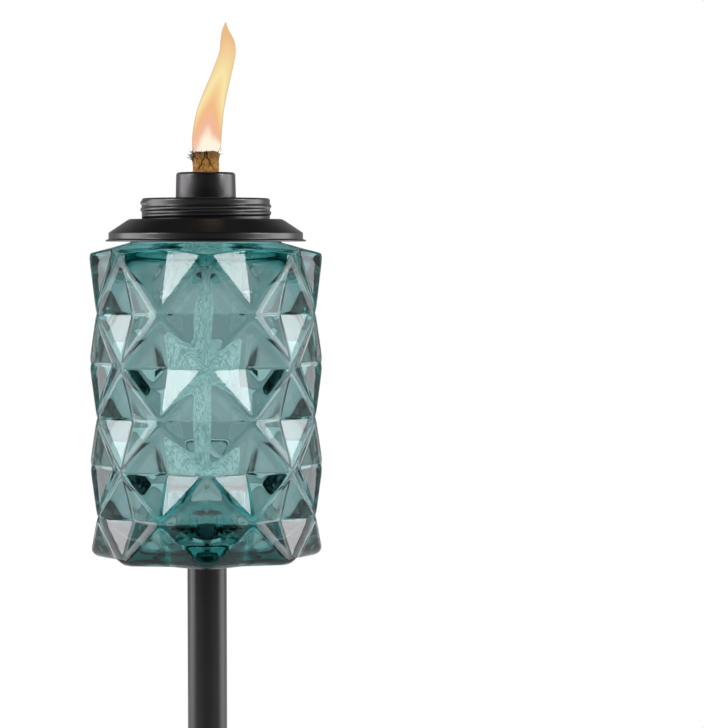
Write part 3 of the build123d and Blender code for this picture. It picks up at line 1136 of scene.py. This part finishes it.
def add_softbox(name, place, size, power, target):
    """Rectangular light that faces a point, seen in reflections but not through the glass."""
    light = bpy.data.lights.new(name, "AREA")
    light.shape = "RECTANGLE"
    light.size, light.size_y = size
    light.energy = power
    light.color = (1.0, 0.965, 0.995)
    lamp = bpy.data.objects.new(name, light)
    lamp.location = place
    lamp.rotation_euler = (Vector(target) - Vector(place)).to_track_quat("-Z", "Y").to_euler()
    lamp.visible_camera = False
    lamp.visible_transmission = False
    bpy.context.scene.collection.objects.link(lamp)


class TORCH_OT_stage(bpy.types.Operator):
    """Set up the floor, the lights, the background and the camera"""

    bl_idname = "torch.stage"
    bl_label = "Stage"

    def execute(self, context):
        scene = context.scene
        scene.view_settings.view_transform = "Standard"
        camera_data = bpy.data.cameras.new("camera")
        camera_data.lens = LENS
        camera_data.sensor_width = 36
        camera = bpy.data.objects.new("camera", camera_data)
        camera.location = (0, -CAMERA_DISTANCE, CAMERA_HEIGHT)
        camera.rotation_euler = (pi / 2 - CAMERA_TILT, 0, -CAMERA_TURN)
        scene.collection.objects.link(camera)
        scene.camera = camera

        bm = bmesh.new()
        bmesh.ops.create_grid(bm, x_segments=8, y_segments=8, size=FLOOR_HALF_SIZE)
        bmesh.ops.translate(bm, verts=bm.verts, vec=(0, 0, FLOOR_Z))
        mesh = bpy.data.meshes.new("floor")
        bm.to_mesh(mesh)
        bm.free()
        material, tree, shader, link = new_material("pale_floor")
        tone = add_noise(tree, object_coordinates(tree), 3.0, 6.0)
        link(add_ramp(tree, tone, [(0.3, (0.80, 0.80, 0.79)), (0.7, (0.84, 0.84, 0.83))]),
             shader.inputs["Base Color"])
        shader.inputs["Roughness"].default_value = 0.8
        mesh.materials.append(material)
        floor = bpy.data.objects.new("floor", mesh)
        floor.visible_transmission = False
        scene.collection.objects.link(floor)

        bm = bmesh.new()
        bmesh.ops.create_circle(bm, cap_ends=True, segments=48, radius=CARD_RADIUS)
        bmesh.ops.translate(bm, verts=bm.verts, vec=(0, 0, GLASS_BASE - CARD_DROP))
        mesh = bpy.data.meshes.new("dark_card")
        bm.to_mesh(mesh)
        bm.free()
        material, _, shader, _ = new_material("dark_card")
        shader.inputs["Base Color"].default_value = (0.26, 0.26, 0.26, 1)
        shader.inputs["Roughness"].default_value = 1.0
        mesh.materials.append(material)
        card = bpy.data.objects.new("dark_card", mesh)
        card.visible_camera = False
        scene.collection.objects.link(card)

        middle = (0, 0, GLASS_BASE + 0.08)
        make_backdrop_world()
        for side, name in ((-1, "left"), (1, "right")):
            add_softbox("key_" + name, (side * 1.09, -0.456, GLASS_BASE + 0.624),
                        (0.34, 0.50), 5.4, middle)
            add_softbox("strip_" + name, (side * 1.35, 0.15, GLASS_BASE + 0.10), (1.0, 1.4),
                        12.0, middle)
        return {"FINISHED"}


# Panel and running -------------------------------------------------------------------------

class TORCH_PT_build(bpy.types.Panel):
    """Lists the build steps"""

    bl_label = "Garden Torch"
    bl_idname = "TORCH_PT_build"
    bl_space_type = "VIEW_3D"
    bl_region_type = "UI"
    bl_category = "Torch"

    def draw(self, context):
        for step in STEPS:
            self.layout.operator(step.bl_idname)
        for group in SETTINGS:
            box = self.layout.box()
            values = getattr(context.scene, group)
            for name in values.__annotations__:
                box.prop(values, name)


STEPS = (
    TORCH_OT_stage,
    TORCH_OT_metal_parts,
    TORCH_OT_glass_font,
    TORCH_OT_lid,
    TORCH_OT_wick,
    TORCH_OT_flame,
)
SETTINGS = {
    "torch_glass": TorchGlassSettings,
    "torch_paint": TorchPaintSettings,
    "torch_flame": TorchFlameSettings,
}


def register():
    """Registers the settings, steps and panel."""
    for name, group in SETTINGS.items():
        bpy.utils.register_class(group)
        setattr(bpy.types.Scene, name, bpy.props.PointerProperty(type=group))
    for step in (*STEPS, TORCH_PT_build):
        bpy.utils.register_class(step)


def unregister():
    """Removes them again."""
    for step in (TORCH_PT_build, *reversed(STEPS)):
        bpy.utils.unregister_class(step)
    for name, group in SETTINGS.items():
        delattr(bpy.types.Scene, name)
        bpy.utils.unregister_class(group)


def main():
    """Builds the torch and its stage."""
    register()
    bpy.ops.torch.stage()
    bpy.ops.torch.metal_parts()
    bpy.ops.torch.glass_font()
    bpy.ops.torch.lid()
    bpy.ops.torch.wick()
    bpy.ops.torch.flame()


if __name__ == "__main__":
    main()
